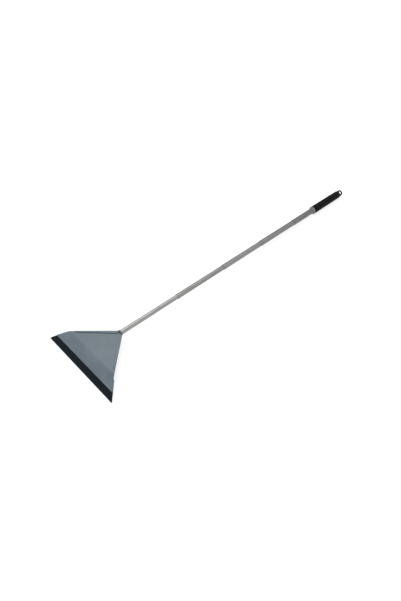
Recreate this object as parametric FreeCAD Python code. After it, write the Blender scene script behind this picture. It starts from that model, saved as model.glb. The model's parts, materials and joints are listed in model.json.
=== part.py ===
"""Long-handled floor scraper with a telescopic pole, written one STEP per loose piece (millimetres).

The tool lies on the floor as it is put down: the wedge of the rubber lip and the grip touch z = 0.
+X runs along the lip, +Y from the lip towards the grip, +Z is up, and the origin is the centre of the lip's
floor flat. Every piece is first drawn in the pole frame, where the pole's axis is the line x = z = 0, the head's
bend starts at y = 0 and the sheet's middle plane is z = 0. lay_down() then carries it to the floor frame.
"""
import FreeCAD
import Part
import math
import os

from FreeCAD import Vector

# Head: one bent sheet, narrowing at 45 degrees from the lip to the neck
SHEET = 1.2                 # sheet thickness
BEND_DEG = 30.0             # the front flap leans down from the rear plate by this much
BEND_RADIUS = 14.0          # of the sheet's middle plane
REAR_LENGTH = 85.0          # from the bend to the neck
FLAP_LENGTH = 25.0          # straight part of the front flap
NECK_HALF_WIDTH = 9.0
HEM_GAP = 0.6               # slot between the folded-over edge and the plate
HEM_WIDTH_NECK = 9.0        # width of the folded-over side edges at the neck
HEM_WIDTH_BEND = 3.0        # and at the bend
HEM_RUN_OUT = 10.0          # length over which the hem fades at the bend
HEM_FROM_MIDDLE = 0.2       # the two hems stay this far from x = 0 at the neck

# Rubber lip and what clamps it
LIP_THICKNESS = 5.0
LIP_PROUD = 18.0            # how far the lip stands out of the sheet's front edge
LIP_UNDER = 21.0            # how far it reaches back under the flap
LIP_BEVEL_LENGTH = 9.0
LIP_TIP_THICKNESS = 3.0
LIP_FLAT_HEIGHT = 1.5       # height of the lip's end face that the floor flat takes away
BAR_THICKNESS = 2.5
BAR_WIDTH = 15.0
BAR_INSET = 4.0             # how far the bar's ends stay inside the side lines
FASTENER_COUNT = 5
FASTENER_PITCH = 42.0
STUD_RADIUS = 2.5
STUD_LENGTH = 14.0
STUD_CLEARANCE = 0.25
STUD_CHAMFER = 0.5
WASHER_RADIUS = 5.0
WASHER_THICKNESS = 1.0
WASHER_CLEARANCE = 0.15
NUT_ACROSS_FLATS = 8.0
NUT_HEIGHT = 5.0
NUT_CONE_WIDE = 1.6         # the cone that rounds the nut's corners: past them at the washer
NUT_CONE_NARROW = 0.3       # and inside them at the outer face

# Telescopic pole: five tubes, thinnest at the head
TUBE_DIAMETERS = [13.0, 15.0, 17.0, 19.0, 21.0]
TUBE_WALL = 0.5
TUBE_SHOWN = 195.0          # length that each drawn-out tube shows
TUBE_OVERLAP = 32.0         # length that stays inside the next tube
MOUTH_LENGTH = 3.0          # rolled-in mouth that holds the guide bush back
MOUTH_ROUND = 0.4
RUNNING_CLEARANCE = 0.05    # radial, at the mouth and round the bush
BUSH_STOP_GAP = 0.3
BUSH_COLLAR = 8.0
BUSH_VENT_RADIUS = 1.5
BUSH_PLUG = 3.0
RING_SECTION = 0.6          # radius of the friction ring's section
RING_GROOVE_WIDTH = 1.6
RING_CLEARANCE = 0.03       # between the ring and the bore it rubs on
RING_FLOOR_CLEARANCE = 0.15

# Neck ferrule, welded to the sheet and riveted into the thinnest tube
DISC_RADIUS = 8.2
DISC_LENGTH = 3.0
DISC_SLOT_DEPTH = 1.5
SPIGOT_LENGTH = 38.0
TANG_LENGTH = 52.0
TANG_RADIUS = 5.0
TANG_NOSE_RADIUS = 2.25
DISC_ROUND = 0.6
TONGUE_INSET = 2.0          # how far the sheet's tongue stays inside the disc on each side
TONGUE_ROOT = 8.0           # how far the tongue is run back into the plate
RIVET_RADIUS = 1.5
RIVET_FROM_DISC = 12.0
RIVET_HEAD_RADIUS = 2.6
RIVET_HEAD_HEIGHT = 1.1
RIVET_BLANK = 3.0           # length of bar each rivet head is cut from

# Handle
LAST_TUBE_SHOWN = 138.0
GRIP_RADIUS = 14.9
GRIP_LENGTH = 194.0
GRIP_ROUND = 1.5
GRIP_GROOVES = 33
GRIP_GROOVE_PITCH = 5.0
GRIP_GROOVE_DEPTH = 0.5
GRIP_GROOVE_WIDTH = 1.2
GRIP_PLAIN_END = 18.0       # plain length at the mouth before the first groove
COLLAR_RADIUS = 12.4
COLLAR_SHOWN = 3.0
COLLAR_SEAT = 10.0
COLLAR_CHAMFER = 1.2
CAP_RADIUS = 14.6
CAP_LENGTH = 41.0
CAP_TIP_RADIUS = 11.5
CAP_SHOULDER = 1.0
CAP_EYE_THICKNESS = 3.6
CAP_EYE_TURN_DEG = 40.0     # the eye's turn about the pole as the tool lies
CAP_SLOPE = 14.0            # length over which the cap flattens
CAP_SPIGOT = 30.0
CAP_SPIGOT_CLEARANCE = 0.05
HANG_HOLE_RADIUS = 6.0
HANG_HOLE_FROM_END = 13.0
HANG_HOLE_CHAMFER = 1.0
TUBE_IN_CAP_GAP = 1.0
PIN_RADIUS = 1.5
PIN_FROM_CAP = 15.0
PIN_INSET = 0.1             # how far each end of the pin stays inside the tube

# Worked out from the above
BEND = math.radians(BEND_DEG)
HEM_RADIUS = SHEET + HEM_GAP / 2
TONGUE_WIDTH = 2 * (DISC_RADIUS - TONGUE_INSET)
FLAP_DIR = Vector(0, -math.cos(BEND), -math.sin(BEND))
FLAP_UP = Vector(0, -math.sin(BEND), math.cos(BEND))
FLAP_ROOT = Vector(0, -BEND_RADIUS * math.sin(BEND), BEND_RADIUS * (math.cos(BEND) - 1.0))
DISC_FRONT = REAR_LENGTH - DISC_SLOT_DEPTH
POLE_START = DISC_FRONT + DISC_LENGTH
MOUTHS = [POLE_START + TUBE_SHOWN * i for i in range(len(TUBE_DIAMETERS))]
GRIP_START = MOUTHS[-1] + LAST_TUBE_SHOWN
GRIP_END = GRIP_START + GRIP_LENGTH
TOOL_END = GRIP_END + CAP_LENGTH
LIP_END = FLAP_LENGTH + LIP_PROUD
LIP_TOP = -SHEET / 2
LIP_BOTTOM = LIP_TOP - LIP_THICKNESS
FAR = 400.0
THROUGH = 30.0              # half length of a cutting bar across the pole
SAME = 1e-6                 # two lengths closer than this are the same
X_AXIS = Vector(1, 0, 0)
Y_AXIS = Vector(0, 1, 0)
Z_AXIS = Vector(0, 0, 1)


def flap_point(x, along, up):
    """A point on the front flap: along runs from the bend to the lip's edge, up is square to the sheet."""
    return Vector(x, 0, 0) + FLAP_ROOT + FLAP_DIR * along + FLAP_UP * up


def floor_pose():
    """Turns and shifts the pole frame so that the lip's flat and the grip's underside lie on z = 0."""
    corner = flap_point(0, LIP_END, LIP_BOTTOM + LIP_FLAT_HEIGHT)
    tilt = math.atan2(-GRIP_RADIUS - corner.z, GRIP_END - corner.y)
    flat = LIP_FLAT_HEIGHT / math.sin(BEND - tilt)
    turn = FreeCAD.Placement(Vector(0, 0, 0), FreeCAD.Rotation(X_AXIS, -math.degrees(tilt)))
    shift = FreeCAD.Placement(Vector(0, -flat / 2, 0), FreeCAD.Rotation())
    return shift.multiply(turn).multiply(FreeCAD.Placement(corner * -1, FreeCAD.Rotation()))


FLOOR_POSE = floor_pose()


def lay_down(shape):
    """Carries a shape from the pole frame to the floor frame."""
    moved = shape.copy()
    moved.transformShape(FLOOR_POSE.toMatrix())
    return moved


def rod(radius, start, end):
    """Solid round bar on the pole's axis."""
    return Part.makeCylinder(radius, end - start, Vector(0, start, 0), Y_AXIS)


def pipe(outer, inner, start, end):
    """Round tube on the pole's axis."""
    return rod(outer, start, end).cut(rod(inner, start - 1, end + 1))


def slab(x_size, y_low, y_high, z_low, z_high):
    """Box centred on x = 0."""
    return Part.makeBox(x_size, y_high - y_low, z_high - z_low, Vector(-x_size / 2, y_low, z_low))


def inside_sides(inset):
    """Upright prism between the two 45-degree side lines, each moved in by inset, from lip to neck."""
    half_neck = NECK_HALF_WIDTH - inset * math.sqrt(2.0)
    top = REAR_LENGTH
    if half_neck < 0:
        top += half_neck
        half_neck = 0.0
    low = -FAR / 2
    half_low = half_neck + (top - low)
    points = [Vector(-half_low, low, -FAR), Vector(half_low, low, -FAR), Vector(half_neck, top, -FAR)]
    if half_neck > 0:
        points.append(Vector(-half_neck, top, -FAR))
    points.append(points[0])
    return Part.Face(Part.makePolygon(points)).extrude(Vector(0, 0, 2 * FAR))


def extrude_section(points):
    """Closed outline of points in the x = 0 plane, drawn out across the whole width."""
    outline = Part.makePolygon(points + [points[0]])
    face = Part.Face(outline)
    face.translate(Vector(-FAR / 2, 0, 0))
    return face.extrude(Vector(FAR, 0, 0))


def bent_sheet(rear_length):
    """Full-width sheet: rear plate, bend and front flap."""
    centre_z = -BEND_RADIUS
    outer = BEND_RADIUS + SHEET / 2
    inner = BEND_RADIUS - SHEET / 2

    def on_arc(radius, share):
        turn = BEND * share
        return Vector(0, -radius * math.sin(turn), centre_z + radius * math.cos(turn))

    tip = FLAP_DIR * FLAP_LENGTH
    edges = [
        Part.makeLine(Vector(0, rear_length, SHEET / 2), on_arc(outer, 0)),
        Part.Arc(on_arc(outer, 0), on_arc(outer, 0.5), on_arc(outer, 1)).toShape(),
        Part.makeLine(on_arc(outer, 1), on_arc(outer, 1) + tip),
        Part.makeLine(on_arc(outer, 1) + tip, on_arc(inner, 1) + tip),
        Part.makeLine(on_arc(inner, 1) + tip, on_arc(inner, 1)),
        Part.Arc(on_arc(inner, 1), on_arc(inner, 0.5), on_arc(inner, 0)).toShape(),
        Part.makeLine(on_arc(inner, 0), Vector(0, rear_length, -SHEET / 2)),
        Part.makeLine(Vector(0, rear_length, -SHEET / 2), Vector(0, rear_length, SHEET / 2)),
    ]
    face = Part.Face(Part.Wire(edges))
    face.translate(Vector(-FAR / 2, 0, 0))
    return face.extrude(Vector(FAR, 0, 0))


def hem(side):
    """Side edge of the rear plate folded over onto it, narrower towards the bend and fading out there."""
    length = (REAR_LENGTH + HEM_RUN_OUT) * math.sqrt(2.0)
    under = -SHEET / 2
    middle = Vector(-HEM_RADIUS, 0, under + HEM_RADIUS)

    def folded(radius):
        """Closed hem with an outer edge of this radius, drawn for a side line along Y with the plate at -x."""
        flat = Part.makeBox(HEM_WIDTH_NECK - HEM_RADIUS, length, 2 * radius,
                            Vector(-HEM_WIDTH_NECK, 0, middle.z - radius))
        return flat.fuse(Part.makeCylinder(radius, length, middle, Y_AXIS))

    narrowing = Part.makePolygon([
        Vector(-FAR, 0, middle.z), Vector(-HEM_WIDTH_BEND, 0, middle.z),
        Vector(-HEM_WIDTH_NECK, length, middle.z), Vector(-FAR, length, middle.z), Vector(-FAR, 0, middle.z)])
    fold = folded(HEM_RADIUS).cut(folded(HEM_GAP / 2))
    fold = fold.cut(Part.Face(narrowing).extrude(Vector(0, 0, FAR)))
    fold.rotate(Vector(0, 0, 0), Z_AXIS, 45.0)
    fold.translate(Vector(NECK_HALF_WIDTH + REAR_LENGTH + HEM_RUN_OUT, -HEM_RUN_OUT, 0))
    fade = extrude_section([
        Vector(0, -FAR / 2, -FAR / 4),
        Vector(0, 0, under),
        Vector(0, HEM_RUN_OUT, under + 2 * HEM_RADIUS),
        Vector(0, HEM_RUN_OUT, FAR / 4),
        Vector(0, -FAR / 2, FAR / 4),
    ])
    fold = fold.cut(fade)
    fold = fold.cut(slab(FAR, DISC_FRONT, FAR, -FAR / 4, FAR / 4))
    fold = fold.common(Part.makeBox(FAR, 2 * FAR, FAR, Vector(HEM_FROM_MIDDLE, -FAR, -FAR / 2)))
    if side < 0:
        fold = fold.mirror(Vector(0, 0, 0), X_AXIS)
    return fold


def head_plate():
    """The sheet, cut to the side lines, with its rear sides hemmed and a tongue for the ferrule's slot."""
    sheet = bent_sheet(REAR_LENGTH)
    whole = sheet.common(inside_sides(0.0))
    front = whole.common(slab(FAR, -FAR, 0, -FAR, FAR))
    corners = whole.common(slab(FAR, 0, HEM_RUN_OUT / 2, -FAR, FAR))
    rear = sheet.common(inside_sides(HEM_RADIUS)).common(slab(FAR, 0, DISC_FRONT, -FAR, FAR))
    tongue = slab(TONGUE_WIDTH, DISC_FRONT - TONGUE_ROOT, REAR_LENGTH, -SHEET / 2, SHEET / 2)
    return front.fuse([rear, tongue, corners, hem(1), hem(-1)]).removeSplitter()


def rubber_lip():
    """Black rubber strip under the flap, bevelled on top towards its edge and flat where it meets the floor."""
    start = LIP_END - LIP_PROUD - LIP_UNDER
    bevel_start = LIP_END - LIP_BEVEL_LENGTH
    lip = extrude_section([
        flap_point(0, start, LIP_TOP),
        flap_point(0, bevel_start, LIP_TOP),
        flap_point(0, LIP_END, LIP_BOTTOM + LIP_TIP_THICKNESS),
        flap_point(0, LIP_END, LIP_BOTTOM),
        flap_point(0, start, LIP_BOTTOM),
    ])
    lip = lip.common(inside_sides(0.0)).cut(stud_holes())
    return lip.cut(below_floor())


def below_floor():
    """Everything under the floor plane, in the pole frame."""
    ground = Part.makeBox(2 * FAR, 2 * FAR, FAR, Vector(-FAR, -FAR, -FAR))
    ground.transformShape(FLOOR_POSE.inverse().toMatrix())
    return ground


def clamp_bar():
    """Flat bar that presses the lip against the flap."""
    middle = fastener_line()
    bar = extrude_section([
        flap_point(0, middle - BAR_WIDTH / 2, LIP_BOTTOM),
        flap_point(0, middle + BAR_WIDTH / 2, LIP_BOTTOM),
        flap_point(0, middle + BAR_WIDTH / 2, LIP_BOTTOM - BAR_THICKNESS),
        flap_point(0, middle - BAR_WIDTH / 2, LIP_BOTTOM - BAR_THICKNESS),
    ])
    return bar.common(inside_sides(BAR_INSET)).cut(stud_holes())


def fastener_line():
    """Distance of the studs from the bend, along the flap."""
    return LIP_END - LIP_PROUD - LIP_UNDER / 2


def fastener_places():
    """x positions of the studs."""
    middle = (FASTENER_COUNT - 1) / 2
    return [FASTENER_PITCH * (i - middle) for i in range(FASTENER_COUNT)]


def flap_pin(x, radius, up_from, up_to):
    """Cylinder square to the flap at a stud's place."""
    foot = flap_point(x, fastener_line(), up_from)
    return Part.makeCylinder(radius, up_from - up_to, foot, FLAP_UP * -1)


def stud_holes():
    """Clearance holes for the studs through the lip and the clamp bar."""
    low = LIP_BOTTOM - BAR_THICKNESS - 1
    return Part.makeCompound([
        flap_pin(x, STUD_RADIUS + STUD_CLEARANCE, LIP_TOP, low) for x in fastener_places()
    ])


def weld_studs():
    """Threaded studs welded to the underside of the flap."""
    studs = []
    for x in fastener_places():
        stud = flap_pin(x, STUD_RADIUS, LIP_TOP, LIP_TOP - STUD_LENGTH)
        studs.append(stud.makeChamfer(STUD_CHAMFER, [bottom_edge(stud)]))
    return studs


def bottom_edge(cylinder):
    """The circular edge of a flap pin that is furthest below the flap."""
    circles = [e for e in cylinder.Edges if isinstance(e.Curve, Part.Circle)]
    return min(circles, key=lambda e: e.Curve.Center.dot(FLAP_UP))


def washers():
    """Plain washers under the nuts."""
    top = LIP_BOTTOM - BAR_THICKNESS
    return [
        flap_pin(x, WASHER_RADIUS, top, top - WASHER_THICKNESS).cut(
            flap_pin(x, STUD_RADIUS + WASHER_CLEARANCE, top + 1, top - WASHER_THICKNESS - 1))
        for x in fastener_places()
    ]


def lock_nuts():
    """Hexagon lock nuts on the studs."""
    top = LIP_BOTTOM - BAR_THICKNESS - WASHER_THICKNESS
    corner = NUT_ACROSS_FLATS / math.sqrt(3.0)
    nuts = []
    for x in fastener_places():
        points = []
        for i in range(6):
            turn = math.radians(60.0 * i)
            across = X_AXIS * (corner * math.cos(turn)) + FLAP_DIR * (corner * math.sin(turn))
            points.append(flap_point(x, fastener_line(), top) + across)
        nut = Part.Face(Part.makePolygon(points + [points[0]])).extrude(FLAP_UP * -NUT_HEIGHT)
        cone = Part.makeCone(corner + NUT_CONE_WIDE, corner - NUT_CONE_NARROW, NUT_HEIGHT,
                             flap_point(x, fastener_line(), top), FLAP_UP * -1)
        nut = nut.common(cone)
        nuts.append(nut.cut(flap_pin(x, STUD_RADIUS, top + 1, top - NUT_HEIGHT - 1)))
    return nuts


def neck_ferrule():
    """Turned piece behind the neck: slotted disc on the sheet, tang under it, spigot in the thinnest tube."""
    bore = TUBE_DIAMETERS[0] / 2 - TUBE_WALL
    disc = rod(DISC_RADIUS, DISC_FRONT, POLE_START)
    disc = disc.makeFillet(DISC_ROUND, [e for e in disc.Edges if isinstance(e.Curve, Part.Circle)])
    spigot = rod(bore - RUNNING_CLEARANCE, POLE_START - 1, POLE_START + SPIGOT_LENGTH)
    tang_start = DISC_FRONT - TANG_LENGTH
    tang = Part.makeCone(TANG_NOSE_RADIUS, TANG_RADIUS, TANG_LENGTH + 1, Vector(0, tang_start, 0), Y_AXIS)
    tang = tang.common(slab(FAR, -FAR, FAR, -FAR, -SHEET / 2))
    slot = slab(TONGUE_WIDTH, DISC_FRONT - 1, REAR_LENGTH, -SHEET / 2, SHEET / 2)
    ferrule = disc.fuse([spigot, tang]).cut(slot)
    return ferrule.cut(cross_hole(RIVET_RADIUS, POLE_START + RIVET_FROM_DISC))


def cross_hole(radius, y):
    """Through hole square to the pole, parallel to the lip."""
    return Part.makeCylinder(radius, 2 * THROUGH, Vector(-THROUGH, y, 0), X_AXIS)


def neck_rivet():
    """Domed rivet through the thinnest tube and the ferrule's spigot, its heads saddled to the tube."""
    y = POLE_START + RIVET_FROM_DISC
    half = TUBE_DIAMETERS[0] / 2
    reach = half + RIVET_HEAD_HEIGHT
    sphere_radius = (RIVET_HEAD_RADIUS ** 2 + RIVET_HEAD_HEIGHT ** 2) / (2 * RIVET_HEAD_HEIGHT)
    shank_half = half + RIVET_HEAD_HEIGHT / 2
    rivet = Part.makeCylinder(RIVET_RADIUS, 2 * shank_half, Vector(-shank_half, y, 0), X_AXIS)
    tube = rod(half, y - 10, y + 10)
    for side in (-1, 1):
        blank = Part.makeCylinder(RIVET_HEAD_RADIUS, RIVET_BLANK, Vector(side * reach, y, 0), X_AXIS * -side)
        ball = Part.makeSphere(sphere_radius, Vector(side * (reach - sphere_radius), y, 0))
        rivet = rivet.fuse(blank.common(ball).cut(tube))
    return rivet


def pole_tube(index):
    """One tube. All but the thinnest have a mouth rolled in to just clear the tube inside them."""
    radius = TUBE_DIAMETERS[index] / 2
    bore = radius - TUBE_WALL
    start = MOUTHS[index]
    last = index == len(TUBE_DIAMETERS) - 1
    end = GRIP_END - TUBE_IN_CAP_GAP if last else MOUTHS[index + 1] + TUBE_OVERLAP
    tube = pipe(radius, bore, start, end)
    if index > 0:
        inside = TUBE_DIAMETERS[index - 1] / 2 + RUNNING_CLEARANCE
        lip = pipe(radius, inside, start, start + MOUTH_LENGTH)
        tube = tube.fuse(lip).removeSplitter()
        outer = [e for e in tube.Edges if isinstance(e.Curve, Part.Circle)
                 and abs(e.Curve.Radius - radius) < SAME and abs(e.Curve.Center.y - start) < SAME]
        tube = tube.makeFillet(MOUTH_ROUND, outer)
    if index == 0:
        tube = tube.cut(cross_hole(RIVET_RADIUS, POLE_START + RIVET_FROM_DISC))
    if last:
        tube = tube.cut(cross_hole(PIN_RADIUS, GRIP_END - PIN_FROM_CAP))
    return tube


def bush_end(index):
    """Where tube number index ends inside the next one."""
    return MOUTHS[index + 1] + TUBE_OVERLAP


def ring_middle(index):
    return bush_end(index) + BUSH_COLLAR / 2


def guide_bush(index):
    """Nylon bush bonded round and over the inner end of a tube: guides it and stops it at the next mouth."""
    radius = TUBE_DIAMETERS[index] / 2
    bore = radius - TUBE_WALL
    next_bore = TUBE_DIAMETERS[index + 1] / 2 - TUBE_WALL
    outer = next_bore - RUNNING_CLEARANCE
    start = MOUTHS[index + 1] + MOUTH_LENGTH + BUSH_STOP_GAP
    end = bush_end(index)
    sleeve = pipe(outer, radius, start, end)
    collar = rod(outer, end, end + BUSH_COLLAR)
    plug = rod(bore, end - BUSH_PLUG, end)
    bush = sleeve.fuse([collar, plug])
    bush = bush.cut(rod(BUSH_VENT_RADIUS, end - FAR / 4, end + FAR / 4))
    middle = ring_middle(index)
    half_groove = RING_GROOVE_WIDTH / 2
    groove_floor = next_bore - 2 * RING_SECTION - RING_FLOOR_CLEARANCE
    groove = pipe(outer + 1, groove_floor, middle - half_groove, middle + half_groove)
    return bush.cut(groove).removeSplitter()


def friction_ring(index):
    """Rubber ring in the bush's groove that rubs on the bore of the next tube."""
    next_bore = TUBE_DIAMETERS[index + 1] / 2 - TUBE_WALL
    major = next_bore - RING_SECTION - RING_CLEARANCE
    return Part.makeTorus(major, RING_SECTION, Vector(0, ring_middle(index), 0), Y_AXIS)


def grip_collar():
    """Light grey ring in the grip's mouth."""
    inside = TUBE_DIAMETERS[-1] / 2
    start = GRIP_START - COLLAR_SHOWN
    ring = pipe(COLLAR_RADIUS, inside, start, GRIP_START + COLLAR_SEAT)
    front = [e for e in ring.Edges if isinstance(e.Curve, Part.Circle)
             and abs(e.Curve.Radius - COLLAR_RADIUS) < SAME and abs(e.Curve.Center.y - start) < SAME]
    return ring.makeChamfer(COLLAR_CHAMFER, front)


def grip_sleeve():
    """Soft black sleeve round the widest tube, with shallow rings cut in it for the hand."""
    inside = TUBE_DIAMETERS[-1] / 2
    body = rod(GRIP_RADIUS, GRIP_START, GRIP_END)
    rims = [e for e in body.Edges if isinstance(e.Curve, Part.Circle)]
    near = [e for e in rims if abs(e.Curve.Center.y - GRIP_START) < SAME]
    body = body.makeFillet(GRIP_ROUND, near)
    body = body.cut(rod(inside, GRIP_START - 1, GRIP_END + 1))
    body = body.cut(rod(COLLAR_RADIUS, GRIP_START - 1, GRIP_START + COLLAR_SEAT))
    for i in range(GRIP_GROOVES):
        y = GRIP_START + GRIP_PLAIN_END + GRIP_GROOVE_PITCH * i
        body = body.cut(pipe(GRIP_RADIUS + 1, GRIP_RADIUS - GRIP_GROOVE_DEPTH, y, y + GRIP_GROOVE_WIDTH))
    return body


def hang_cap():
    """Hard black end of the grip: a flattened eye with the hanging hole, and a spigot in the widest tube."""
    dome_centre = TOOL_END - CAP_TIP_RADIUS
    body = Part.makeCone(CAP_RADIUS, CAP_TIP_RADIUS, dome_centre - GRIP_END, Vector(0, GRIP_END, 0), Y_AXIS)
    dome = Part.makeSphere(CAP_TIP_RADIUS, Vector(0, dome_centre, 0)).common(
        slab(FAR, dome_centre, TOOL_END + 1, -FAR, FAR))
    body = body.fuse(dome)
    half = CAP_EYE_THICKNESS / 2
    shoulder = GRIP_END + CAP_SHOULDER
    for side in (-1, 1):
        body = body.cut(extrude_section([
            Vector(0, shoulder, side * CAP_RADIUS),
            Vector(0, shoulder + CAP_SLOPE, side * half),
            Vector(0, TOOL_END + 1, side * half),
            Vector(0, TOOL_END + 1, side * FAR / 4),
            Vector(0, shoulder, side * FAR / 4),
        ]))
    spigot_radius = TUBE_DIAMETERS[-1] / 2 - TUBE_WALL - CAP_SPIGOT_CLEARANCE
    body = body.fuse(rod(spigot_radius, GRIP_END - CAP_SPIGOT, GRIP_END + 1)).removeSplitter()
    hole_y = TOOL_END - HANG_HOLE_FROM_END
    hole = Part.makeCylinder(HANG_HOLE_RADIUS, 2 * THROUGH, Vector(0, hole_y, -THROUGH), Z_AXIS)
    for side in (-1, 1):
        wide = HANG_HOLE_RADIUS + HANG_HOLE_CHAMFER
        mouth = Part.makeCone(HANG_HOLE_RADIUS, wide, HANG_HOLE_CHAMFER,
                              Vector(0, hole_y, side * (half - HANG_HOLE_CHAMFER)), Z_AXIS * side)
        hole = hole.fuse(mouth)
    body = body.cut(hole)
    body.rotate(Vector(0, 0, 0), Y_AXIS, CAP_EYE_TURN_DEG)
    return body.cut(cross_hole(PIN_RADIUS, GRIP_END - PIN_FROM_CAP))


def cap_pin():
    """Pin through the widest tube and the cap's spigot, covered by the grip sleeve."""
    half = TUBE_DIAMETERS[-1] / 2 - PIN_INSET
    return Part.makeCylinder(PIN_RADIUS, 2 * half, Vector(-half, GRIP_END - PIN_FROM_CAP, 0), X_AXIS)


def save(name, shapes):
    """Writes one node: a list of loose solids, or a single shape."""
    solids = []
    for shape in shapes if isinstance(shapes, list) else [shapes]:
        solids += lay_down(shape).Solids
    for solid in solids:
        if not solid.isValid():
            print("not valid:", name)
    node = solids[0] if len(solids) == 1 else Part.makeCompound(solids)
    node.exportStep(os.path.join("parts", name + ".step"))
    print(name, len(solids), "solid(s)", round(sum(s.Volume for s in solids), 1), "mm3")


def main():
    os.makedirs("parts", exist_ok=True)
    save("head_plate", head_plate())
    save("rubber_lip", rubber_lip())
    save("clamp_bar", clamp_bar())
    save("weld_studs", weld_studs())
    save("washers", washers())
    save("lock_nuts", lock_nuts())
    save("neck_ferrule", neck_ferrule())
    save("neck_rivet", neck_rivet())
    for i in range(len(TUBE_DIAMETERS)):
        save("tube_%d" % (i + 1), pole_tube(i))
    for i in range(len(TUBE_DIAMETERS) - 1):
        save("guide_bush_%d" % (i + 1), guide_bush(i))
        save("friction_ring_%d" % (i + 1), friction_ring(i))
    save("grip_collar", grip_collar())
    save("grip_sleeve", grip_sleeve())
    save("hang_cap", hang_cap())
    save("cap_pin", cap_pin())
    hole = FLOOR_POSE.multVec(Vector(0, TOOL_END - HANG_HOLE_FROM_END, 0))
    along = FLOOR_POSE.Rotation.multVec(Y_AXIS)
    turn = math.radians(CAP_EYE_TURN_DEG)
    eye = FLOOR_POSE.Rotation.multVec(Vector(math.sin(turn), 0, math.cos(turn)))
    print("pole axis", tuple(round(v, 6) for v in along), "eye axis", tuple(round(v, 6) for v in eye))
    print("hang hole centre", tuple(round(v, 4) for v in hole))


main()
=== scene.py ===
"""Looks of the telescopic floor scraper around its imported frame.

Everything is in metres, in the frame's axes.
"""

import json
import math

import bmesh
import bpy
import numpy as np
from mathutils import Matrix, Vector, noise


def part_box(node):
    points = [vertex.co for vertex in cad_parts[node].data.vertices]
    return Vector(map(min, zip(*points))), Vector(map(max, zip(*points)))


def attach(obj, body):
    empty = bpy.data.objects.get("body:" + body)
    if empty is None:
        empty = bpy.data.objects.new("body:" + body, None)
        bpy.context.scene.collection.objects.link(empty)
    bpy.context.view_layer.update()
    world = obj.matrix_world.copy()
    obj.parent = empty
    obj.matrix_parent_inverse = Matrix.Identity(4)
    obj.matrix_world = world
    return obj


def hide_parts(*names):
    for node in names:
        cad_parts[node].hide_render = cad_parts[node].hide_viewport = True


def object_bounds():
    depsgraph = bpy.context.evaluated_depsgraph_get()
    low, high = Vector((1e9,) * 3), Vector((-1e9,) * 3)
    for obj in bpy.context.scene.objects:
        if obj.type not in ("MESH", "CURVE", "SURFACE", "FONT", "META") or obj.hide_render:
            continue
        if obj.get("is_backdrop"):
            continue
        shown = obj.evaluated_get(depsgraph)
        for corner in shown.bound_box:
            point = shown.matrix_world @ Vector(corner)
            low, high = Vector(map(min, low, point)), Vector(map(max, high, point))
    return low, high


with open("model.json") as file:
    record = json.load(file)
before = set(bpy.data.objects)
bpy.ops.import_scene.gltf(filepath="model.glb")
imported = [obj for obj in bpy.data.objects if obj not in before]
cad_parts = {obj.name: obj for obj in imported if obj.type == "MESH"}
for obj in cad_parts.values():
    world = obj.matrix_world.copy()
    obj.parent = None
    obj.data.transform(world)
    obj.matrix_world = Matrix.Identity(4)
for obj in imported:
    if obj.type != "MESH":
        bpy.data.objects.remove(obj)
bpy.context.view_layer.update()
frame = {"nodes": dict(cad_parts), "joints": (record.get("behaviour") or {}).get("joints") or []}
NODES = frame["nodes"]

MM = 0.001

# colours are linear (r, g, b)
SLATE = (0.101, 0.134, 0.160)
# the neck parts get the same slate made darker: painted shade where the sheet meets the pole
NECK_PAINTED_SHADE = 0.95
TUBE_SHADES = [0.36, 0.315, 0.315, 0.305, 0.275]    # from the thinnest tube to the widest
TUBE_GRAIN = (2600, 28, 2600)                       # cycles per metre, long along the pole

# the rubber lip
LIP_END_FROM = 95 * MM          # corner points beyond this X belong to the lip's end
LIP_ROUNDING = 0.6 * MM
LIP_SPACING = 0.5 * MM          # between points round the section
LIP_STATIONS = 121
RIB_PITCH = 2.2 * MM
RIB_DEPTH = 0.16 * MM
RIPPLE_DEPTH = 0.12 * MM
RIPPLE_FREE = 0.4 * MM          # below this height the lip stays true, because it lies on the floor

# the grip and the cap
PLAIN_FRONT = 14 * MM
PLAIN_BACK = 8 * MM
BAND = 5 * MM
GROOVE_DEPTH = 0.9 * MM
GROOVE_SHARE = 0.13             # half width of a groove as a share of a band
KNURL_DEPTH = 0.35 * MM
KNURLS = 40
FRONT_ROUNDING = [(0.0, 1.6), (0.3, 0.8), (0.8, 0.25), (1.6, 0.0)]    # (in from the end, drop) in millimetres
BACK_ROUNDING = [(1.2, 0.0), (0.4, 0.3), (0.0, 0.9)]
CAP_VOXEL = 0.45 * MM
CAP_SMOOTHING = 10

# the studs
STUD_GAP = 20 * MM              # points further apart than this along X belong to different studs
THREAD_PITCH = 0.8 * MM
THREAD_DEPTH = 0.4 * MM
THREAD_RIDGE = [(0.05, 0.0), (0.30, 0.8), (0.50, 1.0), (0.70, 0.8), (0.95, 0.0)]    # of pitch, of depth

# the weld beads along the ferrule's tang, which is a cone
TANG_NOSE_RADIUS = 2.25
TANG_ROOT_RADIUS = 5.0
TANG_CONE_LENGTH = 53.0
BEAD_LENGTH = 46 * MM
BEAD_RADIUS = 1.1 * MM
BEAD_WANDER = 0.12 * MM
BEAD_PITCH = 2.4 * MM

# the camera
SENSOR_WIDTH = 36.0
CAMERA_AZIMUTH = 44.44
CAMERA_ELEVATION = 42.46
CAMERA_LENS = 21.26
CAMERA_FROM_MIDDLE = (0.5742, -0.8071, 0.6805)


def even(cycles):
    """The same grain along all three axes."""
    return (cycles,) * 3


# ---------------------------------------------------------------- node-material helpers

def colour_mix_sockets(node):
    """(share, first colour, second colour, result) of a node that mixes colours."""
    share = next(socket for socket in node.inputs if socket.type == "VALUE")
    first, second = [socket for socket in node.inputs if socket.type == "RGBA"]
    result = next(socket for socket in node.outputs if socket.type == "RGBA")
    return share, first, second, result


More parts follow.
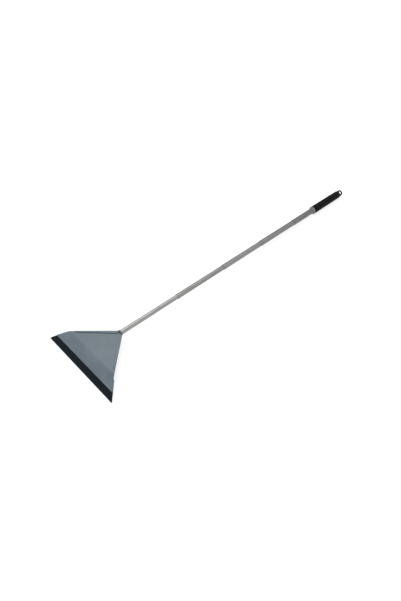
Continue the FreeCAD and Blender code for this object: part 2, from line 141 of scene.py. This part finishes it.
class Shader:
    """A small wrapper that adds and links nodes of one material."""

    def __init__(self, name):
        self.material = bpy.data.materials.new(name)
        self.material.use_nodes = True
        self.tree = self.material.node_tree
        self.surface = self.tree.nodes["Principled BSDF"]

    def add(self, kind, **values):
        node = self.tree.nodes.new(kind)
        for key, value in values.items():
            if key in node.inputs:
                node.inputs[key].default_value = value
            else:
                setattr(node, key.lower(), value)
        return node

    def link(self, source, target):
        self.tree.links.new(source, target)

    def place(self, scale):
        """Object coordinates stretched by scale, in cycles per metre along X, Y and Z."""
        coords = self.add("ShaderNodeTexCoord")
        mapping = self.add("ShaderNodeMapping", Scale=scale)
        self.link(coords.outputs["Object"], mapping.inputs["Vector"])
        return mapping.outputs["Vector"]

    def noise(self, scale, detail=4.0, roughness=0.55, distortion=0.0):
        """Noise whose grain is set by a stretch (x, y, z)."""
        node = self.add("ShaderNodeTexNoise", Scale=1.0, Detail=detail, Roughness=roughness,
                        Distortion=distortion)
        self.link(self.place(scale), node.inputs["Vector"])
        return node.outputs["Fac"]

    def ramp(self, value, stops):
        """Colour ramp: stops are (position, colour)."""
        node = self.add("ShaderNodeValToRGB")
        ramp = node.color_ramp
        ramp.interpolation = "EASE"
        while len(ramp.elements) < len(stops):
            ramp.elements.new(0.5)
        for element, (position, colour) in zip(ramp.elements, stops):
            element.position = position
            element.color = tuple(colour) + (1.0,)
        self.link(value, node.inputs["Fac"])
        return node.outputs["Color"]

    def scale_to(self, value, low, high, from_low=0.0, from_high=1.0):
        """Maps a value from one range to another, clamped."""
        node = self.add("ShaderNodeMapRange")
        node.inputs["From Min"].default_value = from_low
        node.inputs["From Max"].default_value = from_high
        node.inputs["To Min"].default_value = low
        node.inputs["To Max"].default_value = high
        self.link(value, node.inputs["Value"])
        return node.outputs["Result"]

    def maths(self, operation, first, second):
        node = self.add("ShaderNodeMath", operation=operation)
        for socket, value in zip(node.inputs, (first, second)):
            if isinstance(value, (int, float)):
                socket.default_value = value
            else:
                self.link(value, socket)
        return node.outputs["Value"]

    def mix(self, share, first, second):
        """Mixes two colours, each a socket or a plain (r, g, b)."""
        node = self.add("ShaderNodeMix", data_type="RGBA")
        share_socket, first_socket, second_socket, result = colour_mix_sockets(node)
        for socket, value in ((first_socket, first), (second_socket, second)):
            if isinstance(value, tuple):
                socket.default_value = value + (1.0,)
            else:
                self.link(value, socket)
        self.link(share, share_socket)
        return result

    def bump(self, height, distance, strength, under=None):
        """Bump from a height, stacked on the normal of another bump when given."""
        node = self.add("ShaderNodeBump", Strength=strength, Distance=distance)
        self.link(height, node.inputs["Height"])
        if under is not None:
            self.link(under, node.inputs["Normal"])
        return node.outputs["Normal"]

    def edges(self, radius):
        """0 on flats to 1 where an edge turns within radius."""
        bevel = self.add("ShaderNodeBevel", samples=6)
        bevel.inputs["Radius"].default_value = radius
        geometry = self.add("ShaderNodeNewGeometry")
        dot = self.add("ShaderNodeVectorMath", operation="DOT_PRODUCT")
        self.link(bevel.outputs["Normal"], dot.inputs[0])
        self.link(geometry.outputs["Normal"], dot.inputs[1])
        return self.scale_to(dot.outputs["Value"], 1.0, 0.0, 0.80, 0.995)

    def finish(self, colour=None, roughness=None, metallic=None, normal=None, **fixed):
        for socket, value in (("Base Color", colour), ("Roughness", roughness),
                              ("Metallic", metallic), ("Normal", normal)):
            if value is None:
                continue
            if isinstance(value, (int, float)):
                self.surface.inputs[socket].default_value = value
            elif isinstance(value, tuple):
                self.surface.inputs[socket].default_value = value + (1.0,)
            else:
                self.link(value, self.surface.inputs[socket])
        for key, value in fixed.items():
            self.surface.inputs[key.replace("_", " ")].default_value = value
        return self.material


# ---------------------------------------------------------------- materials

def painted_sheet(name, colour):
    """Satin slate coat on sheet steel.

    It has clouds, orange peel, scuffs in the push direction, painted shade along its folds and in its
    corners, and worn edges.
    """
    s = Shader(name)
    r, g, b = colour

    def shade(k, lift=0.0):
        return (r * k + lift, g * k + lift, b * k + lift)

    clouds = s.noise((16, 24, 16), detail=6.0, roughness=0.62)
    base = s.ramp(clouds, [(0.32, shade(0.80)), (0.50, colour), (0.70, shade(1.20))])
    speckle = s.noise(even(1300), detail=2.0)
    base = s.mix(s.scale_to(speckle, 0.0, 0.22, 0.50, 0.72), base, shade(1.7))
    streaks = s.noise((1500, 34, 90), detail=3.0, roughness=0.75, distortion=0.5)
    patches = s.noise((11, 8, 11), detail=3.0)
    scuffs = s.maths("MULTIPLY", s.scale_to(streaks, 0.0, 0.75, 0.56, 0.72),
                     s.scale_to(patches, 0.0, 1.0, 0.42, 0.62))
    base = s.mix(scuffs, base, shade(1.45, 0.03))
    scratches = s.noise((1100, 16, 60), detail=1.0, distortion=0.6)
    scratch = s.maths("MULTIPLY", s.scale_to(scratches, 0.0, 0.6, 0.74, 0.78),
                      s.scale_to(patches, 0.2, 1.0, 0.45, 0.60))
    base = s.mix(scratch, base, (0.36, 0.38, 0.40))
    # painted shade: the coat is darkened along the folds and bends of the sheet, where shadow lies
    painted_fold_shade = s.scale_to(s.edges(0.0026), 0.0, 0.30)
    base = s.mix(painted_fold_shade, base, shade(0.40))
    chips = s.noise(even(260), detail=6.0, roughness=0.7)
    worn = s.maths("MULTIPLY", s.edges(0.0005), s.scale_to(chips, 0.0, 0.8, 0.54, 0.66))
    base = s.mix(worn, base, (0.40, 0.41, 0.42))
    # painted shade: the coat is darkened in corners and crevices that the AO node finds occluded
    corners = s.add("ShaderNodeAmbientOcclusion", samples=6)
    corners.inputs["Distance"].default_value = 0.004
    painted_corner_shade = s.scale_to(corners.outputs["AO"], 0.15, 0.0, 0.15, 0.75)
    base = s.mix(painted_corner_shade, base, shade(0.35))
    rough = s.scale_to(clouds, 0.32, 0.50, 0.3, 0.7)
    rough = s.maths("ADD", rough, s.maths("MULTIPLY", scuffs, 0.25))
    peel = s.bump(s.noise(even(620), detail=2.0), 0.00006, 0.7)
    dents = s.bump(s.noise(even(14), detail=2.0), 0.0010, 0.4, under=peel)
    lines = s.bump(streaks, 0.00003, 0.5, under=dents)
    metal = s.maths("MULTIPLY", worn, 0.9)
    return s.finish(base, rough, metal, lines, Coat_Weight=0.15, Coat_Roughness=0.30)


def drawn_steel(name, colour, stretch):
    """Drawn stainless tube: fine lines along it, cloudy polish, small smudges, and painted shade that darkens
    its sides.

    stretch is the grain in cycles per metre.
    """
    s = Shader(name)
    r, g, b = colour
    lines = s.noise(stretch, detail=3.0, roughness=0.65)
    clouds = s.noise((60, 9, 60), detail=4.0)
    base = s.ramp(lines, [(0.30, (r * 0.72, g * 0.72, b * 0.72)), (0.5, colour),
                          (0.70, (r * 1.25, g * 1.24, b * 1.22))])
    smudge = s.scale_to(clouds, 0.0, 0.5, 0.50, 0.72)
    base = s.mix(smudge, base, (r * 0.72, g * 0.71, b * 0.69))
    rings = s.noise((40, 1500, 40), detail=2.0)
    ring_share = s.maths("MULTIPLY", s.scale_to(rings, 0.0, 0.35, 0.62, 0.74),
                         s.scale_to(clouds, 1.0, 0.0, 0.4, 0.6))
    base = s.mix(ring_share, base, (r * 1.35, g * 1.35, b * 1.34))
    # painted shade: the tube's colour darkens towards its sides as seen from the camera
    facing = s.add("ShaderNodeLayerWeight", Blend=0.5)
    side = s.scale_to(facing.outputs["Facing"], 0.0, 0.92, 0.30, 0.80)
    base = s.mix(side, base, (r * 0.22, g * 0.22, b * 0.23))
    rough = s.maths("ADD", s.scale_to(lines, 0.30, 0.44), s.maths("MULTIPLY", smudge, 0.22))
    grain = s.bump(lines, 0.00002, 0.5)
    return s.finish(base, rough, 1.0, grain)


def zinc_plate(name):
    """Bright zinc on small steel parts: bluish with pale yellow clouds and dull spots."""
    s = Shader(name)
    clouds = s.noise(even(180), detail=4.0, distortion=0.6)
    base = s.ramp(clouds, [(0.30, (0.46, 0.48, 0.53)), (0.55, (0.58, 0.58, 0.57)),
                           (0.75, (0.62, 0.58, 0.47))])
    spots = s.noise(even(1400), detail=3.0)
    base = s.mix(s.scale_to(spots, 0.0, 0.4, 0.58, 0.70), base, (0.30, 0.30, 0.31))
    rough = s.scale_to(clouds, 0.26, 0.46)
    return s.finish(base, rough, 1.0, s.bump(spots, 0.00003, 0.4))


def lip_rubber():
    """Matte black rubber: extrusion lines along the lip, pale dust, grey abrasion near the working edge."""
    s = Shader("lip_rubber_black")
    lines = s.noise((6, 1300, 1300), detail=3.0)
    dust = s.noise((120, 240, 240), detail=6.0, roughness=0.7)
    base = s.ramp(lines, [(0.3, (0.0034, 0.0062, 0.0098)), (0.7, (0.0080, 0.0134, 0.0192))])
    base = s.mix(s.scale_to(dust, 0.0, 0.35, 0.55, 0.80), base, (0.024, 0.028, 0.032))
    worn = s.maths("MULTIPLY", s.edges(0.0016), s.scale_to(dust, 0.25, 0.9, 0.40, 0.65))
    base = s.mix(worn, base, (0.030, 0.033, 0.037))
    rough = s.scale_to(dust, 0.58, 0.82)
    grain = s.bump(s.noise(even(2600), detail=2.0), 0.00004, 0.5)
    return s.finish(base, rough, 0.0, s.bump(lines, 0.00005, 0.5, under=grain), Specular_IOR_Level=0.11)


def grip_rubber():
    """Soft black grip: fine pebble grain, patches of more and less shine, and dust in its grooves."""
    s = Shader("grip_rubber_black")
    grain = s.add("ShaderNodeTexVoronoi", Scale=1.0, feature="SMOOTH_F1")
    s.link(s.place(even(1100)), grain.inputs["Vector"])
    clouds = s.noise((45, 30, 45), detail=4.0)
    base = s.ramp(clouds, [(0.30, (0.0018, 0.0018, 0.002)), (0.72, (0.005, 0.005, 0.0055))])
    corners = s.add("ShaderNodeAmbientOcclusion", samples=6)
    corners.inputs["Distance"].default_value = 0.0015
    dust = s.scale_to(corners.outputs["AO"], 0.55, 0.0, 0.55, 0.95)
    base = s.mix(dust, base, (0.010, 0.010, 0.010))
    rough = s.scale_to(clouds, 0.46, 0.66, 0.3, 0.7)
    pebble = s.bump(grain.outputs["Distance"], 0.00012, 0.6)
    return s.finish(base, rough, 0.0, pebble, Specular_IOR_Level=0.08)


def moulded_plastic(name, dark, light, grain_size, rough_low, rough_high, shine=0.5):
    """Moulded plastic with a spark-eroded grain, soft colour clouds and scuffed edges."""
    s = Shader(name)
    clouds = s.noise(even(70), detail=4.0)
    base = s.ramp(clouds, [(0.3, dark), (0.7, light)])
    scuffs = s.noise((500, 90, 500), detail=4.0, roughness=0.7)
    worn = s.maths("MULTIPLY", s.edges(0.0007), s.scale_to(scuffs, 0.0, 0.7, 0.42, 0.62))
    base = s.mix(worn, base, tuple(min(1.0, c * 1.5 + 0.03) for c in light))
    rough = s.scale_to(clouds, rough_low, rough_high, 0.3, 0.7)
    grain = s.bump(s.noise(even(grain_size), detail=2.0), 0.00004, 0.6)
    return s.finish(base, rough, 0.0, grain, Specular_IOR_Level=shine)


SHEET_PAINT = painted_sheet("slate_paint", SLATE)
# painted shade: a darker copy of the slate paint for the ferrule and the weld beads at the neck
NECK_PAINT_SHADED = painted_sheet("slate_paint_neck_shaded", tuple(c * NECK_PAINTED_SHADE for c in SLATE))
ZINC = zinc_plate("zinc_plate")
RIVET_STEEL = drawn_steel("rivet_steel", (0.50, 0.50, 0.50), even(900))
LIP_RUBBER = lip_rubber()
GRIP_RUBBER = grip_rubber()
CAP_PLASTIC = moulded_plastic("cap_plastic_black", (0.002, 0.002, 0.0025), (0.005, 0.005, 0.0055),
                              1500, 0.40, 0.58, shine=0.15)
GREY_PLASTIC = moulded_plastic("collar_plastic_grey", (0.29, 0.29, 0.29), (0.37, 0.37, 0.365),
                               1200, 0.38, 0.52)
NYLON = moulded_plastic("nylon_natural", (0.70, 0.68, 0.60), (0.80, 0.79, 0.73),
                        900, 0.35, 0.5)
RING_RUBBER = moulded_plastic("ring_rubber_black", (0.012, 0.012, 0.012), (0.025, 0.025, 0.025),
                              2200, 0.55, 0.7)


def paint_node(node, material):
    """Gives a CAD node one material in every slot."""
    mesh = NODES[node].data
    if not mesh.materials:
        mesh.materials.append(material)
    for i in range(len(mesh.materials)):
        mesh.materials[i] = material


paint_node("head_plate", SHEET_PAINT)
paint_node("neck_ferrule", NECK_PAINT_SHADED)
paint_node("neck_rivet", RIVET_STEEL)
paint_node("cap_pin", RIVET_STEEL)
paint_node("grip_collar", GREY_PLASTIC)
for node in ("clamp_bar", "washers", "lock_nuts", "weld_studs"):
    paint_node(node, ZINC)
for number, shade in enumerate(TUBE_SHADES, 1):
    steel = drawn_steel("drawn_steel_%d" % number, (shade, shade * 0.99, shade * 0.97), TUBE_GRAIN)
    paint_node("tube_%d" % number, steel)
for number in range(1, len(TUBE_SHADES)):
    paint_node("guide_bush_%d" % number, NYLON)
    paint_node("friction_ring_%d" % number, RING_RUBBER)


# ---------------------------------------------------------------- geometry helpers

def points_of(node):
    return [v.co.copy() for v in NODES[node].data.vertices]


def centre_of(node):
    low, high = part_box(node)
    return (low + high) / 2


def new_piece(name, mesh_data, material, body, slot, *stands_for):
    """Puts a finished mesh into the scene, smooth shaded, riding on its body."""
    piece = bpy.data.objects.new(name, mesh_data)
    bpy.context.scene.collection.objects.link(piece)
    mesh_data.materials.clear()
    mesh_data.materials.append(material)
    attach(piece, body)
    if stands_for:
        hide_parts(*stands_for)
    return piece


def mesh_from(bm, name, sharp_degrees=35.0):
    """Turns a bmesh into mesh data with faces pointing out, smooth except across sharp edges."""
    bmesh.ops.recalc_face_normals(bm, faces=bm.faces)
    for face in bm.faces:
        face.smooth = True
    limit = math.radians(sharp_degrees)
    for edge in bm.edges:
        edge.smooth = not (edge.is_manifold and edge.calc_face_angle() > limit)
    data = bpy.data.meshes.new(name)
    bm.to_mesh(data)
    bm.free()
    return data


def bridge(bm, low, high):
    """Faces between two rings of points. A ring of one point is a tip."""
    count = max(len(low), len(high))
    for i in range(count):
        j = (i + 1) % count
        if len(low) == 1:
            bm.faces.new((low[0], high[i], high[j]))
        elif len(high) == 1:
            bm.faces.new((low[i], high[0], low[j]))
        else:
            bm.faces.new((low[i], high[i], high[j], low[j]))


def capped_run(bm, rings):
    """Closed skin over rings that follow each other, with a flat face on both ends."""
    for low, high in zip(rings, rings[1:]):
        bridge(bm, low, high)
    for ring in (rings[0], rings[-1]):
        bm.faces.new(ring)


class Axis:
    """A straight axis with two square directions round it."""

    def __init__(self, point, direction):
        self.point = Vector(point)
        self.along = Vector(direction).normalized()
        side = Vector((0, 0, 1)) if abs(self.along.z) < 0.9 else Vector((1, 0, 0))
        self.across = self.along.cross(side).normalized()
        self.other = self.along.cross(self.across)

    def at(self, s, r, turn):
        return self.point + self.along * s + (self.across * math.cos(turn) + self.other * math.sin(turn)) * r

    def reach(self, points):
        """(start, end, radius) that the points span on this axis."""
        steps = [(p - self.point).dot(self.along) for p in points]
        radii = [((p - self.point) - self.along * s).length for p, s in zip(points, steps)]
        return min(steps), max(steps), max(radii)


def lathe(bm, axis, profile, segments, closed, relief=None):
    """Turns a profile of (s, r) round the axis. relief(s, r, turn) may return a new radius."""
    rings = []
    for s, r in profile:
        if r < 1e-7:
            rings.append([bm.verts.new(axis.at(s, 0, 0))])
            continue
        ring = []
        for i in range(segments):
            turn = 2 * math.pi * i / segments
            radius = relief(s, r, turn) if relief else r
            ring.append(bm.verts.new(axis.at(s, radius, turn)))
        rings.append(ring)
    pairs = list(zip(rings, rings[1:]))
    if closed:
        pairs.append((rings[-1], rings[0]))
    for low, high in pairs:
        bridge(bm, low, high)


POLE = Axis(centre_of("tube_5"), -Vector(frame["joints"][0]["axis"]))


# ---------------------------------------------------------------- rubber lip

def lip_corners():
    """The lip's corner lines as (y, z, half width), in order round its section."""
    end_points = {}
    for p in points_of("rubber_lip"):
        if p.x > LIP_END_FROM:
            end_points[(round(p.y, 5), round(p.z, 5))] = (p.y, p.z, p.x)
    corners = list(end_points.values())
    mid_y = sum(c[0] for c in corners) / len(corners)
    mid_z = sum(c[1] for c in corners) / len(corners)
    return sorted(corners, key=lambda c: math.atan2(c[1] - mid_z, c[0] - mid_y))


def rounded_section(corners, radius, steps, spacing):
    """Corner points rounded off, and long sides cut into short ones, as (y, z) points round the section."""
    flat = [Vector((c[0], c[1])) for c in corners]
    outline = []
    for i, corner in enumerate(flat):
        before, after = flat[i - 1], flat[(i + 1) % len(flat)]
        into = (corner - before).normalized()
        out = (after - corner).normalized()
        cut = min(radius, (corner - before).length * 0.4, (after - corner).length * 0.4)
        for k in range(steps + 1):
            t = k / steps
            start, end = corner - into * cut, corner + out * cut
            outline.append(start * (1 - t) ** 2 + corner * 2 * t * (1 - t) + end * t ** 2)
        end_of_side = after - out * min(radius, (after - corner).length * 0.4)
        run = end_of_side - outline[-1]
        count = int(run.length / spacing)
        outline += [outline[-1] + run * (k / count) for k in range(1, count)]
    return outline


def rubber_lip():
    """Extruded rubber strip with rounded corners, shallow lengthwise ribs on top and a slightly wavy edge."""
    corners = lip_corners()
    reach = corners[0][0] + corners[0][2]
    outline = rounded_section(corners, LIP_ROUNDING, 4, LIP_SPACING)
    mid = sum(outline, Vector((0, 0))) / len(outline)
    bm = bmesh.new()
    rings = []
    for n in range(LIP_STATIONS):
        share = 2 * n / (LIP_STATIONS - 1) - 1
        ring = []
        for i, point in enumerate(outline):
            before, after = outline[i - 1], outline[(i + 1) % len(outline)]
            side = (after - before).normalized()
            normal = Vector((side.y, -side.x))
            if normal.dot(point - mid) < 0:
                normal = -normal
            y, z = point
            if normal.y > 0.3:
                groove = 0.5 - 0.5 * math.cos(2 * math.pi * (point - mid).length / RIB_PITCH)
                y -= normal.x * RIB_DEPTH * groove
                z -= normal.y * RIB_DEPTH * groove
            x = share * (reach - point.x)
            if z > RIPPLE_FREE:
                ripple = RIPPLE_DEPTH * noise.noise(Vector((x * 40, point.x * 30, 3.0)))
                y += normal.x * ripple
                z += normal.y * ripple
            ring.append(bm.verts.new((x, y, z)))
        rings.append(ring)
    capped_run(bm, rings)
    bmesh.ops.triangulate(bm, faces=[f for f in bm.faces if len(f.verts) > 4])
    new_piece("rubber_lip_ribbed", mesh_from(bm, "rubber_lip_ribbed"), LIP_RUBBER, "head",
              "lip_rubber", "rubber_lip")


rubber_lip()


# ---------------------------------------------------------------- grip and hanging cap

def grip_sleeve():
    """Sleeve turned with crowned bands between its grooves, and a fine knurl on the bands."""
    start, end, radius = POLE.reach(points_of("grip_sleeve"))
    collar_radius = POLE.reach(points_of("grip_collar"))[2]
    collar_end = POLE.reach(points_of("grip_collar"))[1]
    bore = POLE.reach(points_of("tube_5"))[2]
    profile = [(start, collar_radius)]
    profile += [(start + inset * MM, radius - drop * MM) for inset, drop in FRONT_ROUNDING]
    first = start + PLAIN_FRONT
    bands = int((end - PLAIN_BACK - first) / BAND)
    per_band = 10
    for i in range(bands * per_band + 1):
        profile.append((first + BAND * i / per_band, radius))
    profile += [(end - inset * MM, radius - drop * MM) for inset, drop in BACK_ROUNDING]
    profile += [(end, bore), (collar_end, bore), (collar_end, collar_radius)]
    last = first + bands * BAND

    def relief(s, r, turn):
        if not first <= s <= last or r < radius - 0.01 * MM:
            return r
        phase = ((s - first) / BAND) % 1.0
        groove = math.exp(-(min(phase, 1 - phase) / GROOVE_SHARE) ** 2)
        row = int((s - first) / BAND)
        crown = math.sin(math.pi * phase) ** 0.5
        knurl = 0.5 - 0.5 * math.cos(KNURLS * turn + math.pi * (row % 2))
        return r - GROOVE_DEPTH * groove - KNURL_DEPTH * knurl ** 2 * crown * (1 - groove)

    bm = bmesh.new()
    lathe(bm, POLE, profile, 240, True, relief)
    new_piece("grip_sleeve_knurled", mesh_from(bm, "grip_sleeve_knurled", 60.0), GRIP_RUBBER, "handle",
              "grip_rubber", "grip_sleeve")


def remeshed(node, voxel, passes):
    """A soft-edged, evenly meshed copy of a CAD node's shape."""
    work = bpy.data.objects.new(node + "_work", NODES[node].data.copy())
    bpy.context.scene.collection.objects.link(work)
    remesh = work.modifiers.new("even", "REMESH")
    remesh.mode = "VOXEL"
    remesh.voxel_size = voxel
    remesh.use_smooth_shade = True
    smooth = work.modifiers.new("soften", "SMOOTH")
    smooth.factor = 0.5
    smooth.iterations = passes
    bpy.context.view_layer.update()
    shaped = work.evaluated_get(bpy.context.evaluated_depsgraph_get())
    data = bpy.data.meshes.new_from_object(shaped)
    bpy.data.objects.remove(work)
    return data


def hang_cap():
    """Moulded cap with soft edges round its flats and its hole."""
    data = remeshed("hang_cap", CAP_VOXEL, CAP_SMOOTHING)
    new_piece("hang_cap_moulded", data, CAP_PLASTIC, "handle", "cap_plastic", "hang_cap")


grip_sleeve()
hang_cap()


# ---------------------------------------------------------------- threaded studs

def main_direction(points):
    """Direction in which a cloud of points is longest."""
    cloud = np.array(points)
    return Vector(np.linalg.svd(cloud - cloud.mean(0), full_matrices=False)[2][0])


def clusters_along_x(points, gap):
    """Splits points into groups that lie more than gap apart along X."""
    groups = []
    for p in sorted(points, key=lambda q: q.x):
        if not groups or p.x - groups[-1][-1].x > gap:
            groups.append([])
        groups[-1].append(p)
    return groups


def threaded_studs():
    """Each stud turned with the ridges of a coarse metric thread, a plain root and a chamfered end."""
    bm = bmesh.new()
    for stud in clusters_along_x(points_of("weld_studs"), STUD_GAP):
        direction = main_direction(stud)
        if direction.z > 0:
            direction = -direction
        low = Vector([min(p[i] for p in stud) for i in range(3)])
        high = Vector([max(p[i] for p in stud) for i in range(3)])
        axis = Axis((low + high) / 2, direction)
        start, end, radius = axis.reach(stud)
        profile = [(start, 0.0), (start, radius), (start + THREAD_PITCH, radius)]
        turns = int((end - start - 2 * THREAD_PITCH) / THREAD_PITCH)
        for i in range(turns):
            for share, height in THREAD_RIDGE:
                profile.append((start + THREAD_PITCH * (1 + i + share), radius - THREAD_DEPTH * height))
        profile += [(end - 0.5 * MM, radius - 0.1 * MM), (end, radius - 0.7 * MM), (end, 0.0)]
        lathe(bm, axis, profile, 40, False)
    new_piece("weld_studs_threaded", mesh_from(bm, "weld_studs_threaded", 50.0), ZINC, "head", "zinc_steel",
              "weld_studs")


threaded_studs()


# ---------------------------------------------------------------- weld beads at the neck

def weld_beads():
    """Rippled bead along each side of the ferrule's tang, where it meets the underside of the sheet."""
    up = POLE.along.cross(Vector((1, 0, 0)))
    if up.z < 0:
        up = -up
    ferrule = points_of("neck_ferrule")
    start = min((p - POLE.point).dot(POLE.along) for p in ferrule)
    tang = [p for p in ferrule if (p - POLE.point).dot(POLE.along) < start + 40 * MM]
    sheet_under = max((p - POLE.point).dot(up) for p in tang)
    nose = max(abs(p.x) for p in tang if (p - POLE.point).dot(POLE.along) < start + 1 * MM)
    widening = (TANG_ROOT_RADIUS - TANG_NOSE_RADIUS) / TANG_CONE_LENGTH
    around = 12
    per_ripple = 6
    fade_rate = 12
    fade_from = 0.06
    stations = int(BEAD_LENGTH / BEAD_PITCH * per_ripple)
    bm = bmesh.new()
    for side in (-1, 1):
        rings = []
        for n in range(stations + 1):
            along = BEAD_LENGTH * n / stations
            phase = (along / BEAD_PITCH) % 1.0
            fade_in = fade_from + n / stations * fade_rate
            fade_out = fade_from + (1 - n / stations) * fade_rate
            end_fade = math.sin(math.pi * min(1.0, fade_in, fade_out) / 2)
            radius = BEAD_RADIUS * (0.86 + 0.24 * math.sqrt(phase)) * end_fade
            wander = BEAD_WANDER * noise.noise(Vector((along * 300, side * 9.0, 1.0)))
            middle = POLE.point + POLE.along * (start + along) + up * (sheet_under - 0.15 * MM)
            middle += Vector((side * (nose + along * widening + 0.1 * MM + wander), 0, 0))
            ring = []
            for i in range(around):
                turn = 2 * math.pi * i / around
                out = Vector((side * math.cos(turn), 0, 0)) + up * math.sin(turn) * 0.8
                ring.append(bm.verts.new(middle + out * radius))
            rings.append(ring)
        capped_run(bm, rings)
    new_piece("neck_weld_beads", mesh_from(bm, "neck_weld_beads", 70.0), NECK_PAINT_SHADED, "head", "painted_neck")


weld_beads()


# ---------------------------------------------------------------- stage, light and camera

def stage_floor():
    """Large pale floor."""
    half = 60.0
    bm = bmesh.new()
    corners = ((-half, -half, 0), (half, -half, 0), (half, half, 0), (-half, half, 0))
    bm.faces.new([bm.verts.new(corner) for corner in corners])
    data = mesh_from(bm, "stage_floor")
    floor = bpy.data.objects.new("stage_floor", data)
    bpy.context.scene.collection.objects.link(floor)
    floor.location.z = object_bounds()[0][2] - 0.2 * MM
    s = Shader("stage_floor_pale")
    shade = s.ramp(s.noise(even(3), detail=2.0), [(0.3, (0.33, 0.33, 0.33)), (0.7, (0.36, 0.36, 0.36))])
    pale = s.finish(shade, 0.85, 0.0, Emission_Color=(1.0, 1.0, 1.0, 1.0), Emission_Strength=0.74)
    data.materials.append(pale)
    floor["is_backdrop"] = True


def surroundings():
    """Soft studio surround: bright overhead, greyer towards the horizon. The camera sees plain pale grey."""
    world = bpy.data.worlds.new("studio")
    world.use_nodes = True
    tree = world.node_tree
    coords = tree.nodes.new("ShaderNodeTexCoord")
    split = tree.nodes.new("ShaderNodeSeparateXYZ")
    ramp = tree.nodes.new("ShaderNodeValToRGB")
    ramp.color_ramp.elements[0].position = 0.02
    ramp.color_ramp.elements[0].color = (0.42, 0.42, 0.43, 1)
    ramp.color_ramp.elements[1].position = 0.85
    ramp.color_ramp.elements[1].color = (1.0, 1.0, 1.0, 1)
    path = tree.nodes.new("ShaderNodeLightPath")
    seen = tree.nodes.new("ShaderNodeMix")
    seen.data_type = "RGBA"
    share, lit_by, seen_by_camera, result = colour_mix_sockets(seen)
    seen_by_camera.default_value = (0.93, 0.93, 0.93, 1)
    background = tree.nodes["Background"]
    tree.links.new(coords.outputs["Generated"], split.inputs["Vector"])
    tree.links.new(split.outputs["Z"], ramp.inputs["Fac"])
    tree.links.new(ramp.outputs["Color"], lit_by)
    tree.links.new(path.outputs["Is Camera Ray"], share)
    tree.links.new(result, background.inputs["Color"])
    background.inputs["Strength"].default_value = 1.12
    bpy.context.scene.world = world


def softbox(name, place, target, size, watts):
    """Area light at place, facing target."""
    light = bpy.data.lights.new(name, "AREA")
    light.shape = "DISK"
    light.size = size
    light.energy = watts
    lamp = bpy.data.objects.new(name, light)
    lamp.location = place
    lamp.rotation_euler = (Vector(target) - Vector(place)).to_track_quat("-Z", "Y").to_euler()
    bpy.context.scene.collection.objects.link(lamp)


def camera():
    """Camera in front and to the right of the head, looking down along the pole."""
    low, high = (Vector(corner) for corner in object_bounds())
    middle = (low + high) / 2
    azimuth = math.radians(CAMERA_AZIMUTH)
    elevation = math.radians(CAMERA_ELEVATION)
    data = bpy.data.cameras.new("camera")
    data.sensor_width = SENSOR_WIDTH
    data.lens = CAMERA_LENS
    data.clip_end = 200.0
    seat = bpy.data.objects.new("camera", data)
    seat.location = middle + Vector(CAMERA_FROM_MIDDLE)
    seat.rotation_euler = (math.pi / 2 - elevation, 0.0, azimuth)
    bpy.context.scene.collection.objects.link(seat)
    bpy.context.scene.camera = seat


stage_floor()
surroundings()
softbox("key_above_head", (-0.9, 0.9, 1.7), (0.0, 0.1, 0.0), 1.2, 7.0)
softbox("fill_front", (1.2, -1.6, 1.6), (0.0, 0.4, 0.0), 1.6, 4.0)
camera()
bpy.context.scene.view_settings.view_transform = "Standard"
